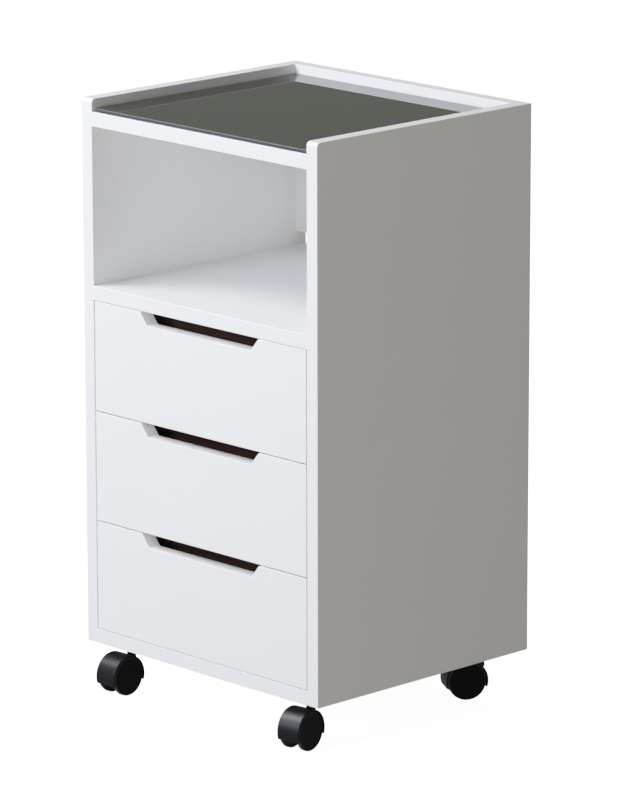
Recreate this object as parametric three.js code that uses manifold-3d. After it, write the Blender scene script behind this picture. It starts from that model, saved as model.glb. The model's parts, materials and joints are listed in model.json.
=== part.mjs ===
// Rolling pedestal cabinet: a white board carcase with a glass-topped tray, an open
// compartment and three drawers, standing on four hooded twin-wheel castors.
// Millimetres, +Z up, -Y is the front. The origin is on the floor, under the middle.
import * as THREE from 'three';
import { mergeVertices } from 'three/addons/utils/BufferGeometryUtils.js';
import Module from 'manifold-3d';

const wasm = await Module();
wasm.setup();

// ---------------------------------------------------------------- driving dimensions
const WIDTH = 340;              // over the side boards
const DEPTH = 298;              // front edges to the rear face
const BODY_HEIGHT = 567;        // underside of the base to the top of the rim
const BOARD = 15;               // every carcase board and drawer front
const CASTOR_HEIGHT = 51;       // floor to the underside of the base
const FRONT = -143;             // y of the front edges; the castor hoods stand proud of it
const FIT = 0.3;                // clearance left where two pieces meet
const SIDE_CORNER_RADIUS = 4.5; // top front corner of each side board

const RIM_HEIGHT = 13;          // sides and back above the top board
const COMPARTMENT_HEIGHT = 163.5;
const DRAWER_COUNT = 3;

const GLASS_THICKNESS = 3.5;
const GLASS_SETBACK = 1.5;        // behind the front edge of the top board
const GLASS_SIDE_GAP = 2;       // to the rim, on its three sides
const GLASS_LIFT = 0.3;         // clear bumpers hold the pane off the board

const CORD_SLOT_WIDTH = 40;     // in the back board, from its left edge
const CORD_SLOT_HEIGHT = 15;

const FRONT_GAP = 1.2;          // shadow gap at the sides of a drawer front
const CELL_GAP = 0.6;           // above and below each drawer front, inside its cell
const NOTCH_TOP_WIDTH = 172;
const NOTCH_FLOOR_WIDTH = 150;
const NOTCH_DEPTH = 14;         // from the top of the cell
const NOTCH_RADIUS = 1.5;       // at the two ends of the notch's floor

const BOX_BOARD = 12;           // drawer box sides, front and back
const BOX_WIDTH = 285;          // leaves 12.5 on each side for the runners
const BOX_LENGTH = 245;
const BOX_HEIGHT = 97;
const BOX_RISE = 12;            // box above the bottom of its cell
const BOX_PANEL = 4;            // drawer bottom
const BOX_PANEL_RISE = 6;       // drawer bottom above the lower edge of the box
const FINGER_ROOM = 20;         // from the drawer front to the front board of its box

const SHEET = 1.2;              // steel of the runners
const RUNNER_FLANGE = 9.9;      // width of the cabinet runner's track
const RUNNER_WEB = 22;          // height of the cabinet runner
const DRAWER_RUNNER_TOP = 14.2; // top flange of the drawer runner, above the box's edge

const WHEEL_RADIUS = 20;
const WHEEL_INNER = 8.7;        // inner face of the tread, from the middle of the castor
const WHEEL_OUTER = 12.8;       // outer face, from the middle of the castor
const HUB_INNER = 4.4;          // inner end of the hub, from the middle of the castor
const HUB_RADIUS = 5.5;
const AXLE_RADIUS = 2.2;
const AXLE_HALF = 10.5;
const HOOD_RADIUS = 22.3;
const HOOD_WALL = 1.6;
const HOOD_HALF = 13.5;         // half its width along the axle
const HOOD_LIP = -7;            // lower edges of the hood, from the axle
const WEB_HALF = 4;             // middle wall between the wheels
const TRAIL = 16.3;             // from the swivel pin to the axle
const NECK_RADIUS = 4.75;
const NECK_TOP = 46.5;          // above the floor
const PIN_RADIUS = 2.5;
const PIN_BOTTOM = 27;          // above the floor
const PIN_BORE = PIN_RADIUS + 0.35;
const PLATE_SIZE = 38;
const PLATE_THICKNESS = 2;
const CASTOR_X = 132.5;         // swivel pins from the middle
const CASTOR_FRONT_INSET = 26.5;
const CASTOR_REAR_INSET = 31;

// Each castor's axle is turned this much about its own swivel pin, seen from above.
const CASTORS = [
  { place: 'front_left', side: -1, inset: CASTOR_FRONT_INSET, turn: 2 },
  { place: 'front_right', side: 1, inset: CASTOR_FRONT_INSET, turn: 9 },
  { place: 'rear_left', side: -1, inset: DEPTH - CASTOR_REAR_INSET, turn: 20 },
  { place: 'rear_right', side: 1, inset: DEPTH - CASTOR_REAR_INSET, turn: -31 },
];
const DRAWERS = ['bottom', 'middle', 'top'];

// ---------------------------------------------------------------- derived places
const INNER = WIDTH / 2 - BOARD;                 // inner face of a side board
const REAR = FRONT + DEPTH;
const BACK_FACE = REAR - BOARD;                  // front face of the back board
const BASE_Z = CASTOR_HEIGHT;
const BODY_TOP = BASE_Z + BODY_HEIGHT;
const TOP_BOARD_TOP = BODY_TOP - RIM_HEIGHT;
const SHELF_TOP = TOP_BOARD_TOP - BOARD - COMPARTMENT_HEIGHT;
const CELLS_BOTTOM = BASE_Z + BOARD;
const CELL_HEIGHT = (SHELF_TOP - BOARD - CELLS_BOTTOM) / DRAWER_COUNT;
const BOX_FRONT = FRONT + BOARD + FIT;

// ---------------------------------------------------------------- looks
const LOOKS = {
  lacquer: { color: 0xf3f4f6, roughness: 0.35, metalness: 0 },
  glass: { color: 0x1c1d1c, roughness: 0.03, metalness: 0 },
  boxWood: { color: 0x4a3328, roughness: 0.6, metalness: 0 },
  runnerSteel: { color: 0xe6e6e4, roughness: 0.4, metalness: 0.2 },
  zincSteel: { color: 0xb9bcc0, roughness: 0.35, metalness: 1 },
  blackPlastic: { color: 0x17181b, roughness: 0.4, metalness: 0 },
};

const cabinet = new THREE.Group();

function addPiece(parent, name, geometry, look) {
  const mesh = new THREE.Mesh(geometry, new THREE.MeshStandardMaterial(LOOKS[look]));
  mesh.name = name;
  parent.add(mesh);
  return mesh;
}

// ---------------------------------------------------------------- shape helpers
function block(x0, x1, y0, y1, z0, z1) {
  const geometry = new THREE.BoxGeometry(x1 - x0, y1 - y0, z1 - z0);
  return geometry.translate((x0 + x1) / 2, (y0 + y1) / 2, (z0 + z1) / 2);
}

// An outline drawn as (y, z), given its thickness along X from x0.
function alongX(shape, x0, length, curveSegments = 8) {
  const geometry = new THREE.ExtrudeGeometry(shape, {
    depth: length, bevelEnabled: false, curveSegments,
  });
  const toX = new THREE.Matrix4().makeBasis(
    new THREE.Vector3(0, 1, 0), new THREE.Vector3(0, 0, 1), new THREE.Vector3(1, 0, 0));
  return geometry.applyMatrix4(toX).translate(x0, 0, 0);
}

// An outline drawn as (x, z), given its thickness along Y from y0.
function alongY(shape, y0, length, curveSegments = 8) {
  const geometry = new THREE.ExtrudeGeometry(shape, {
    depth: length, bevelEnabled: false, curveSegments,
  });
  return geometry.rotateX(Math.PI / 2).translate(0, y0 + length, 0);
}

function outline(points) {
  return new THREE.Shape(points.map(([a, b]) => new THREE.Vector2(a, b)));
}

function toSolid(geometry) {
  const bare = geometry.clone();
  bare.deleteAttribute('normal');
  bare.deleteAttribute('uv');
  const merged = mergeVertices(bare, 1e-4);
  return new wasm.Manifold(new wasm.Mesh({
    numProp: 3,
    vertProperties: new Float32Array(merged.attributes.position.array),
    triVerts: new Uint32Array(merged.index.array),
  }));
}

function toGeometry(solid) {
  const mesh = solid.getMesh();
  const geometry = new THREE.BufferGeometry();
  geometry.setAttribute('position', new THREE.BufferAttribute(new Float32Array(mesh.vertProperties), 3));
  geometry.setIndex(new THREE.BufferAttribute(new Uint32Array(mesh.triVerts), 1));
  return geometry;
}

// ---------------------------------------------------------------- carcase
function sideBoard() {
  const shape = new THREE.Shape();
  shape.moveTo(FRONT, BASE_Z);
  shape.lineTo(REAR, BASE_Z);
  shape.lineTo(REAR, BODY_TOP);
  shape.lineTo(FRONT + SIDE_CORNER_RADIUS, BODY_TOP);
  shape.absarc(FRONT + SIDE_CORNER_RADIUS, BODY_TOP - SIDE_CORNER_RADIUS,
    SIDE_CORNER_RADIUS, Math.PI / 2, Math.PI, false);
  return alongX(shape, 0, BOARD, 6);
}

function crossBoard(top) {
  const reach = INNER - FIT;
  return block(-reach, reach, FRONT, BACK_FACE - FIT, top - BOARD, top);
}

// The back stands between the sides, from the base's underside to the rim. A slot for a
// cord, round at its inner end, opens its left edge just above the compartment's floor.
function backBoard() {
  const reach = INNER - FIT;
  const board = toSolid(block(-reach, reach, BACK_FACE, REAR, BASE_Z, BODY_TOP));
  const radius = CORD_SLOT_HEIGHT / 2;
  const slot = new THREE.Shape();
  slot.moveTo(-INNER - BOARD, SHELF_TOP);
  slot.lineTo(-INNER + CORD_SLOT_WIDTH - radius, SHELF_TOP);
  slot.absarc(-INNER + CORD_SLOT_WIDTH - radius, SHELF_TOP + radius, radius,
    -Math.PI / 2, Math.PI / 2, false);
  slot.lineTo(-INNER - BOARD, SHELF_TOP + CORD_SLOT_HEIGHT);
  const cutter = toSolid(alongY(slot, BACK_FACE - 1, BOARD + 2, 10));
  return toGeometry(board.subtract(cutter));
}

function buildCarcase() {
  addPiece(cabinet, 'side_left', sideBoard().translate(-INNER - BOARD, 0, 0), 'lacquer');
  addPiece(cabinet, 'side_right', sideBoard().translate(INNER, 0, 0), 'lacquer');
  addPiece(cabinet, 'top_board', crossBoard(TOP_BOARD_TOP), 'lacquer');
  addPiece(cabinet, 'shelf_board', crossBoard(SHELF_TOP), 'lacquer');
  addPiece(cabinet, 'base_board', crossBoard(BASE_Z + BOARD), 'lacquer');
  addPiece(cabinet, 'back_board', backBoard(), 'lacquer');
  const glassReach = INNER - GLASS_SIDE_GAP;
  const glassBottom = TOP_BOARD_TOP + GLASS_LIFT;
  const pane = block(-glassReach, glassReach, FRONT + GLASS_SETBACK, BACK_FACE - GLASS_SIDE_GAP,
    glassBottom, glassBottom + GLASS_THICKNESS);
  addPiece(cabinet, 'glass_top', pane, 'glass');
}

// ---------------------------------------------------------------- runners
// Each runner is a bent strip of sheet steel. Outlines are for the right-hand side and
// are mirrored for the left.
function runnerStrip(points, side, y0) {
  const placed = points.map(([x, z]) => [side * x, z]);
  if (side < 0) placed.reverse();
  return alongY(outline(placed), y0, BOX_LENGTH);
}

function cabinetRunner(side, boxBottom) {
  const outer = INNER - FIT;
  const inner = outer - RUNNER_FLANGE;
  const low = boxBottom - 1;
  const lip = low + 4;
  return runnerStrip([
    [inner, low], [outer, low], [outer, low + RUNNER_WEB], [outer - SHEET, low + RUNNER_WEB],
    [outer - SHEET, low + SHEET], [inner + SHEET, low + SHEET], [inner + SHEET, lip], [inner, lip],
  ], side, BOX_FRONT + 1);
}

function drawerRunner(side, boxBottom) {
  const web = BOX_WIDTH / 2 + FIT;
  const under = boxBottom - FIT;
  const top = boxBottom + DRAWER_RUNNER_TOP;
  const reach = INNER - FIT - SHEET - 2;
  const footInner = BOX_WIDTH / 2 - BOX_BOARD;
  return runnerStrip([
    [footInner, under - SHEET], [web + SHEET, under - SHEET], [web + SHEET, top - SHEET],
    [reach, top - SHEET], [reach, top], [web, top], [web, under], [footInner, under],
  ], side, BOX_FRONT);
}

// ---------------------------------------------------------------- drawers
function drawerFront(cellBottom) {
  const reach = INNER - FRONT_GAP;
  const low = cellBottom + CELL_GAP;
  const high = cellBottom + CELL_HEIGHT - CELL_GAP;
  const floor = cellBottom + CELL_HEIGHT - NOTCH_DEPTH;
  const lean = (NOTCH_TOP_WIDTH - NOTCH_FLOOR_WIDTH) / 2 / (NOTCH_DEPTH - CELL_GAP);
  const topHalf = NOTCH_TOP_WIDTH / 2;
  const floorHalf = NOTCH_FLOOR_WIDTH / 2;
  const slantX = NOTCH_RADIUS * lean;
  const shape = new THREE.Shape();
  shape.moveTo(-reach, low);
  shape.lineTo(reach, low);
  shape.lineTo(reach, high);
  shape.lineTo(topHalf, high);
  shape.lineTo(floorHalf + slantX, floor + NOTCH_RADIUS);
  shape.quadraticCurveTo(floorHalf, floor, floorHalf - NOTCH_RADIUS, floor);
  shape.lineTo(-floorHalf + NOTCH_RADIUS, floor);
  shape.quadraticCurveTo(-floorHalf, floor, -floorHalf - slantX, floor + NOTCH_RADIUS);
  shape.lineTo(-topHalf, high);
  shape.lineTo(-reach, high);
  return alongY(shape, FRONT, BOARD, 4);
}

function buildDrawer(level, index) {
  const cellBottom = CELLS_BOTTOM + index * CELL_HEIGHT;
  const low = cellBottom + BOX_RISE;
  const high = low + BOX_HEIGHT;
  const half = BOX_WIDTH / 2;
  const between = half - BOX_BOARD - FIT;
  const rear = BOX_FRONT + BOX_LENGTH;
  const panelLow = low + BOX_PANEL_RISE;
  const name = (piece) => `drawer_${level}_${piece}`;

  addPiece(cabinet, name('front'), drawerFront(cellBottom), 'lacquer');
  addPiece(cabinet, name('box_front'),
    block(-between, between, BOX_FRONT + FINGER_ROOM, BOX_FRONT + FINGER_ROOM + BOX_BOARD,
      panelLow + BOX_PANEL + FIT, high), 'boxWood');
  addPiece(cabinet, name('box_back'),
    block(-between, between, rear - BOX_BOARD, rear, low, high), 'boxWood');
  addPiece(cabinet, name('bottom'),
    block(-between, between, BOX_FRONT, rear - BOX_BOARD - FIT,
      panelLow, panelLow + BOX_PANEL), 'boxWood');
  for (const [word, side] of [['left', -1], ['right', 1]]) {
    const faces = [side * (half - BOX_BOARD), side * half].sort((a, b) => a - b);
    addPiece(cabinet, name(`side_${word}`), block(...faces, BOX_FRONT, rear, low, high), 'boxWood');
    addPiece(cabinet, name(`runner_${word}`), drawerRunner(side, low), 'runnerSteel');
    addPiece(cabinet, `cabinet_runner_${level}_${word}`, cabinetRunner(side, low), 'runnerSteel');
  }
}

// ---------------------------------------------------------------- castors
// A castor is drawn with its axle along X through (0, WHEEL_RADIUS) of its own (y, z)
// and with its swivel pin TRAIL behind, so the hood faces -Y when it isn't turned.
function hoodShell() {
  const lipAngle = Math.asin(-HOOD_LIP / HOOD_RADIUS);
  const innerRadius = HOOD_RADIUS - HOOD_WALL;
  const innerLip = Math.asin(-HOOD_LIP / innerRadius);
  const shape = new THREE.Shape();
  shape.absarc(0, 0, HOOD_RADIUS, -lipAngle, Math.PI + lipAngle, false);
  shape.absarc(0, 0, innerRadius, Math.PI + innerLip, -innerLip, true);
  return alongX(shape, -HOOD_HALF, 2 * HOOD_HALF, 24);
}

function hoodWeb() {
  const radius = HOOD_RADIUS - HOOD_WALL / 2;
  const cut = Math.asin(-HOOD_LIP / radius);
  const shape = new THREE.Shape();
  shape.absarc(0, 0, radius, -cut, Math.PI + cut, false);
  return alongX(shape, -WEB_HALF, 2 * WEB_HALF, 24);
}

function upright(radius, low, high, segments) {
  const post = new THREE.CylinderGeometry(radius, radius, high - low, segments);
  return post.rotateX(Math.PI / 2).translate(0, TRAIL, (low + high) / 2);
}

function crossPin(radius, half, segments) {
  return new THREE.CylinderGeometry(radius, radius, 2 * half, segments).rotateZ(Math.PI / 2);
}

function castorHood() {
  const axle = WHEEL_RADIUS;
  const shape = toSolid(hoodShell())
    .add(toSolid(hoodWeb()))
    .add(toSolid(upright(NECK_RADIUS, 12, NECK_TOP - axle, 20)))
    .subtract(toSolid(upright(PIN_BORE, PIN_BOTTOM - axle - 0.4, CASTOR_HEIGHT, 16)))
    .subtract(toSolid(crossPin(AXLE_RADIUS + FIT, HOOD_HALF, 16)));
  return toGeometry(shape).translate(0, 0, axle);
}

// Flat facets as wide as the tread's steps touch the floor at the full wheel radius.
function castorWheel(side) {
  const segments = 32;
  const tread = WHEEL_RADIUS / Math.cos(Math.PI / segments);
  const bore = AXLE_RADIUS + FIT;
  const profile = [
    [0, AXLE_HALF + FIT], [bore, AXLE_HALF + FIT], [bore, HUB_INNER], [HUB_RADIUS, HUB_INNER],
    [HUB_RADIUS, WHEEL_INNER], [tread - 0.5, WHEEL_INNER], [tread, WHEEL_INNER + 0.5],
    [tread, WHEEL_OUTER - 1.3], [tread - 0.5, WHEEL_OUTER - 0.4], [tread - 1.7, WHEEL_OUTER],
    [0, WHEEL_OUTER],
  ];
  const points = profile.map(([radius, x]) => new THREE.Vector2(radius, x));
  const wheel = new THREE.LatheGeometry(points, segments, Math.PI / segments);
  return wheel.rotateZ(-side * Math.PI / 2).translate(0, 0, WHEEL_RADIUS);
}

function castorPlate() {
  const top = CASTOR_HEIGHT - FIT;
  const half = PLATE_SIZE / 2;
  const plate = block(-half, half, TRAIL - half, TRAIL + half, top - PLATE_THICKNESS, top);
  const pin = upright(PIN_RADIUS, PIN_BOTTOM, top - PLATE_THICKNESS / 2, 16);
  return toGeometry(toSolid(plate).add(toSolid(pin))).translate(0, -TRAIL, 0);
}

function buildCastor({ place, side, inset, turn }) {
  const swivel = new THREE.Group();
  swivel.position.set(side * CASTOR_X, FRONT + inset, 0);
  cabinet.add(swivel);
  addPiece(swivel, `castor_plate_${place}`, castorPlate(), 'zincSteel');

  const turned = new THREE.Group();
  turned.rotation.z = THREE.MathUtils.degToRad(turn);
  swivel.add(turned);
  const running = new THREE.Group();
  running.position.y = -TRAIL;
  turned.add(running);
  addPiece(running, `castor_hood_${place}`, castorHood(), 'blackPlastic');
  const axle = crossPin(AXLE_RADIUS, AXLE_HALF, 16).translate(0, 0, WHEEL_RADIUS);
  addPiece(running, `castor_axle_${place}`, axle, 'zincSteel');
  addPiece(running, `wheel_${place}_left`, castorWheel(-1), 'blackPlastic');
  addPiece(running, `wheel_${place}_right`, castorWheel(1), 'blackPlastic');
}

buildCarcase();
DRAWERS.forEach(buildDrawer);
CASTORS.forEach(buildCastor);

export default cabinet;
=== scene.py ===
import json
import math

import bmesh
import bpy
from bpy.props import FloatProperty, FloatVectorProperty, PointerProperty
from bpy.types import Operator, Panel, PropertyGroup
from mathutils import Matrix, Quaternion, Vector


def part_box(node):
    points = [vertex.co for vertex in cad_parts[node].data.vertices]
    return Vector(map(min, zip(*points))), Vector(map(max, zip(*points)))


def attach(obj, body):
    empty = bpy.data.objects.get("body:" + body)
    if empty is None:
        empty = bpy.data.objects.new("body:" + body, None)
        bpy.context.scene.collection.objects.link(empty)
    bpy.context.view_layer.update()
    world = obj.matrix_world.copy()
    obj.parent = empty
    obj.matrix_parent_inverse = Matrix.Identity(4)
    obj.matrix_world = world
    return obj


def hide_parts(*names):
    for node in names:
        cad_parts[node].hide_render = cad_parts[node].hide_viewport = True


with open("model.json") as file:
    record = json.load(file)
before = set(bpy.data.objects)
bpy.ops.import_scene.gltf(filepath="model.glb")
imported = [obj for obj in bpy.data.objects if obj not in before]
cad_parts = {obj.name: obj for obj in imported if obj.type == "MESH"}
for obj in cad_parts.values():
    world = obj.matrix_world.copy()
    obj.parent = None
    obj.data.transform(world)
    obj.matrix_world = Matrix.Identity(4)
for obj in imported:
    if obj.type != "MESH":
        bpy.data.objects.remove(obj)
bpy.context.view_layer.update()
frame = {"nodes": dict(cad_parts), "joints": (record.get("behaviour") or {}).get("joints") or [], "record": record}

bl_info = {
    "name": "Rolling Pedestal Cabinet",
    "version": (1, 0, 0),
    "blender": (4, 5, 0),
    "location": "View3D > Sidebar > Cabinet",
    "description": "Builds a lacquered drawer pedestal on hooded castors round its packed frame",
    "category": "Add Mesh",
}

BODIES = frame["record"]["behaviour"]["bodies"]
BODY_OF_NODE = {node: body for body, nodes in BODIES.items() for node in nodes}
JOINTS = {joint["name"]: joint for joint in frame["joints"]}
LEVELS = ("bottom", "middle", "top")
SIDES = {"left": -1, "right": 1}
PLACES = ("front_left", "front_right", "rear_left", "rear_right")
TOUCH = 0.0004  # places closer than this count as one
OVERRUN = 0.006  # how far a cutter passes the face that it opens
FILM_WHITE = 2.5  # scene light that shows as pure white


def mm(value):
    """Millimetres as metres."""
    return value / 1000


# ---------- sizes and colours
def length(name, description, default):
    """A length property, its default given in millimetres."""
    return FloatProperty(name=name, description=description, default=mm(default), min=0.0, unit="LENGTH")


def angle(name, description, default):
    """An angle property, its default given in degrees."""
    turn = math.radians(default)
    return FloatProperty(name=name, description=description, default=turn, subtype="ANGLE", unit="ROTATION")


def power(name, description, default):
    """The power of a light."""
    return FloatProperty(name=name, description=description, default=default, min=0.0, unit="POWER")


def colour(name, description, default):
    """A colour property in linear light."""
    return FloatVectorProperty(
        name=name, description=description, default=default, subtype="COLOR", size=3, min=0.0, max=1.0
    )


class CabinetSizes(PropertyGroup):
    """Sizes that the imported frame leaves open."""

    arris: length("Arris", "Radius of the softened edges of the lacquered boards", 0.6)
    front_arris: length("Front arris", "Radius round the face of each drawer front", 0.6)
    side_corner: length("Side corner", "Radius of the top front corner of each side", 4.5)
    slot_width: length("Cord slot width", "Slot in the back board, from its edge", 40)
    slot_height: length("Cord slot height", "Slot in the back board", 15)
    slot_arris: length("Cord slot arris", "Radius round the mouths of the cord slot", 0.6)
    notch_top: length("Notch top", "Width of the finger notch at the drawer's edge", 172)
    notch_floor: length("Notch floor", "Width of the finger notch at its floor", 150)
    notch_depth: length("Notch depth", "Depth of the notch from the drawer's top edge", 13.4)
    notch_corner: length("Notch corner", "Radius where the notch's floor turns up", 1.5)
    box_arris: length("Box arris", "Radius of the edges of the drawer box boards", 0.6)
    notch_lip: length("Notch lip", "Radius where the notch meets the drawer's top edge", 1.2)
    glass_chamfer: length("Glass chamfer", "Width of the ground chamfer round the pane", 0.6)
    glass_corner: length("Glass corner", "Radius of the pane's corners", 1.5)
    bumper_inset: length("Bumper inset", "Bumpers from the pane's edges", 25)
    bumper_radius: length("Bumper radius", "Clear bumpers under the pane", 4)
    bumper_arris: length("Bumper arris", "Width of the bumpers' bevelled edges", 0.1)
    sheet: length("Runner sheet", "Thickness of the runners' steel", 1.2)
    roller_radius: length("Roller radius", "Nylon rollers of the runners", 5.5)
    roller_width: length("Roller width", "Nylon rollers of the runners", 5.5)
    roller_round: length("Roller rounding", "Radius of a roller's edges", 0.7)
    roller_inset: length("Roller inset", "Middle of a roller from its runner's end", 9)
    roller_gap: length("Roller gap", "Air beside a roller", 0.8)
    rivet_radius: length("Rivet radius", "Rivet that carries a roller", 2)
    rivet_head: length("Rivet head", "How far a rivet stands out of its roller", 0.6)
    rivet_round: length("Rivet rounding", "Radius of a rivet's edges", 0.3)
    track_lip: length("Track lip", "Height of the lip along the cabinet's runner", 4)
    screw_radius: length("Screw radius", "Head of every screw", 3.4)
    screw_inset: length("Screw inset", "Castor screws from the edges of their plate", 4.5)
    plate: length("Castor plate", "Thickness of the castor plates", 2)
    hood_radius: length("Hood radius", "Outside of the castor hood", 22.3)
    hood_wall: length("Hood wall", "Thickness of the castor hood", 1.6)
    hood_width: length("Hood width", "Width of the castor hood along the axle", 27)
    hood_lip: length("Hood lip", "Depth of the hood's lower edges below the axle", 7)
    hood_round: length("Hood rounding", "Radius along the hood's two outer edges", 1.45)
    web: length("Hood web", "Middle wall of the castor between its wheels", 8)
    neck_radius: length("Neck radius", "Neck of the castor round its swivel pin", 4.75)
    wheel_inner: length("Tread inner face", "Distance from the castor's middle", 8.7)
    wheel_outer: length("Wheel outer face", "Distance from the castor's middle", 12.8)
    hub_inner: length("Hub inner end", "Distance from the castor's middle", 4.4)
    hub_radius: length("Hub radius", "Hub behind each wheel, round the axle", 5.5)
    wheel_border: length("Wheel border", "Flat ring round the dish in a wheel's outer face", 2.2)
    wheel_dish: length("Wheel dish", "Depth of the dish in a wheel's outer face", 0.4)
    back_border: length("Back border", "Flat ring round the recess in a wheel's inner face", 1.8)
    back_recess: length("Back recess", "Depth of the recess in a wheel's inner face", 0.8)
    dish_slope: length("Dish slope", "Width of the slope down into a dish or recess", 0.5)
    wheel_round: length("Wheel rounding", "Radius of the tread's outer edge", 1.3)
    wheel_back_round: length("Wheel back rounding", "Radius of the tread's inner edge", 0.6)
    hub_arris: length("Hub arris", "Radius of the small edges on a wheel's two faces", 0.15)
    neck_foot: length("Neck foot", "Where the neck starts inside the hood, above the axle", 12)
    neck_round: length("Neck rounding", "Radius of the neck's top edge", 0.6)


class CabinetColours(PropertyGroup):
    """Base colours of the finishes, in linear light."""

    lacquer: colour("Lacquer", "White lacquer of the boards", (0.9, 0.9, 0.905))
    raw_board: colour("Raw board", "Unfinished underside of the base", (0.23, 0.13, 0.07))
    box_wood: colour("Box wood", "Dark wood of the drawer boxes", (0.04, 0.0205, 0.0175))
    glass: colour("Glass", "Body of the smoked pane", (0.006, 0.0062, 0.006))
    ground_glass: colour("Ground glass", "Frosted edge of the pane", (0.04, 0.04, 0.052))
    hood: colour("Hood plastic", "Black plastic of the castor hoods", (0.0052, 0.0056, 0.0072))
    wheel: colour("Wheel plastic", "Black plastic of the castor wheels", (0.0024, 0.0024, 0.0028))
    # tread is far paler than the wheel faces: a painted highlight in place of the light the floor throws onto the
    # treads; the scuffs on it are real wear
    tread: colour("Tread", "Scuffed running surface of the wheels", (0.055, 0.055, 0.057))
    powder: colour("Powder coat", "White coating of the runners", (0.74, 0.74, 0.72))
    zinc: colour("Zinc", "Plated steel of pins, plates and screws", (0.52, 0.53, 0.55))
    nylon: colour("Nylon", "White nylon of the rollers", (0.78, 0.78, 0.74))


class StageSettings(PropertyGroup):
    """Camera and lights."""

    azimuth: angle("Azimuth", "Camera's turn round the cabinet from straight in front", 46.0275)
    elevation: angle("Elevation", "Camera's height as an angle above the horizon", 13.735)
    roll: angle("Roll", "Camera's lean to its right", 0.115)
    distance: length("Distance", "Camera to the point it looks at", 5454)
    lens: FloatProperty(name="Lens", description="Focal length in millimetres", default=244.08, min=1.0)
    aim: FloatVectorProperty(
        name="Aim", description="Point that the camera looks at",
        default=(0.0288, -0.0189, 0.3189), subtype="XYZ", unit="LENGTH", size=3)
    key_power: power("Key", "Soft light on the left", 106.0)
    front_power: power("Front", "Low soft light in front", 82.0)
    fill_power: power("Fill", "Lowest light, on the right", 53.0)
    back_power: power("Back", "Soft light behind", 40.0)
    bounce: colour("Bounce", "Light that the floor throws up", (0.355, 0.34, 0.33))
    surround: colour("Surround", "Studio walls as polished faces mirror them", (0.305, 0.32, 0.275))


# ---------- shader maths
class Value:
    """A shader socket that Python's operators build Math nodes on."""

    def __init__(self, graph, socket):
        self.graph = graph
        self.socket = socket

    def _maths(self, operation, *values):
        return self.graph.node("ShaderNodeMath", {"operation": operation}, dict(enumerate(values)))

    def __add__(self, other):
        return self._maths("ADD", self, other)

    __radd__ = __add__

    def __sub__(self, other):
        return self._maths("SUBTRACT", self, other)

    def __mul__(self, other):
        return self._maths("MULTIPLY", self, other)

    __rmul__ = __mul__


class Finish:
    """One procedural material, built node by node on a Principled shader."""

    def __init__(self, name, base_colour, roughness, **fixed):
        self.material = bpy.data.materials.new(name)
        self.material.use_nodes = True
        self.tree = self.material.node_tree
        self.shader = self.tree.nodes["Principled BSDF"]
        self.shader.inputs["Base Color"].default_value = (*base_colour, 1)
        self.shader.inputs["Roughness"].default_value = roughness
        for socket, value in fixed.items():
            self.shader.inputs[socket.replace("_", " ")].default_value = value
        self.material.diffuse_color = (*base_colour, 1)

    def node(self, kind, settings=None, inputs=None, output=0):
        """Adds a node with its settings and its sockets' values or links, and returns one output."""
        made = self.tree.nodes.new(kind)
        for name, value in (settings or {}).items():
            setattr(made, name, value)
        for name, value in (inputs or {}).items():
            if isinstance(value, Value):
                self.tree.links.new(value.socket, made.inputs[name])
            else:
                made.inputs[name].default_value = value
        return Value(self, made.outputs[output])

    def feed(self, name, value):
        """Links a value to a socket of the Principled shader."""
        self.tree.links.new(value.socket, self.shader.inputs[name])

    def place(self, scale=(1, 1, 1)):
        """The piece's own coordinates in metres, stretched by scale."""
        where = self.node("ShaderNodeTexCoord", output="Object")
        return self.node("ShaderNodeMapping", inputs={"Vector": where, "Scale": scale})

    def noise(self, scale, detail=2.0, roughness=0.5, vector=None):
        """Soft noise from 0 to 1 with features of about 1/scale metres."""
        inputs = {"Vector": vector or self.place(), "Scale": scale, "Detail": detail, "Roughness": roughness}
        return self.node("ShaderNodeTexNoise", inputs=inputs)

    def ramp(self, value, low, high, out_low=0.0, out_high=1.0):
        """Value remapped from low..high to out_low..out_high, held at both ends."""
        inputs = {"Value": value, 1: low, 2: high, 3: out_low, 4: out_high}
        return self.node("ShaderNodeMapRange", {"clamp": True}, inputs)

    def mix(self, share, first, second):
        """Colour between first and second."""
        tuples = [c if isinstance(c, Value) else (*c, 1) for c in (first, second)]
        return self.node("ShaderNodeMix", {"data_type": "RGBA"}, {0: share, 6: tuples[0], 7: tuples[1]}, 2)

    def bump(self, height, distance, strength=1.0):
        """Feeds a height, in units of distance metres, to the shader's normal."""
        inputs = {"Height": height, "Distance": distance, "Strength": strength}
        self.feed("Normal", self.node("ShaderNodeBump", inputs=inputs))


def shade(colour_value, factor):
    """A colour times a number, in Python."""
    return tuple(channel * factor for channel in colour_value)


def make_lacquer(colours):
    """Sprayed satin lacquer: faint orange peel, slight cloudiness, a little uneven gloss."""
    white = tuple(colours.lacquer)
    finish = Finish("white_lacquer", white, 0.34, Coat_Weight=0.25, Coat_Roughness=0.12)
    peel = finish.noise(620, 2.0)
    cloud = finish.noise(9, 3.0, 0.6)
    finish.feed("Base Color", finish.mix(finish.ramp(cloud, 0.3, 0.7), shade(white, 0.985), white))
    finish.feed("Roughness", 0.30 + 0.08 * finish.noise(45, 3.0))
    finish.bump(peel, mm(0.012), 0.35)
    return finish.material


def make_raw_board(colours):
    """Unfinished fibreboard: matt brown with pressed fibres."""
    brown = tuple(colours.raw_board)
    finish = Finish("raw_board", brown, 0.85)
    fibre = finish.noise(900, 5.0, 0.7)
    patch = finish.noise(30, 3.0)
    tone = finish.mix(finish.ramp(fibre, 0.3, 0.7), shade(brown, 0.75), shade(brown, 1.2))
    finish.feed("Base Color", finish.mix(finish.ramp(patch, 0.35, 0.65, 0.0, 0.35), tone, shade(brown, 0.8)))
    finish.bump(fibre, mm(0.05), 0.5)
    return finish.material


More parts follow.
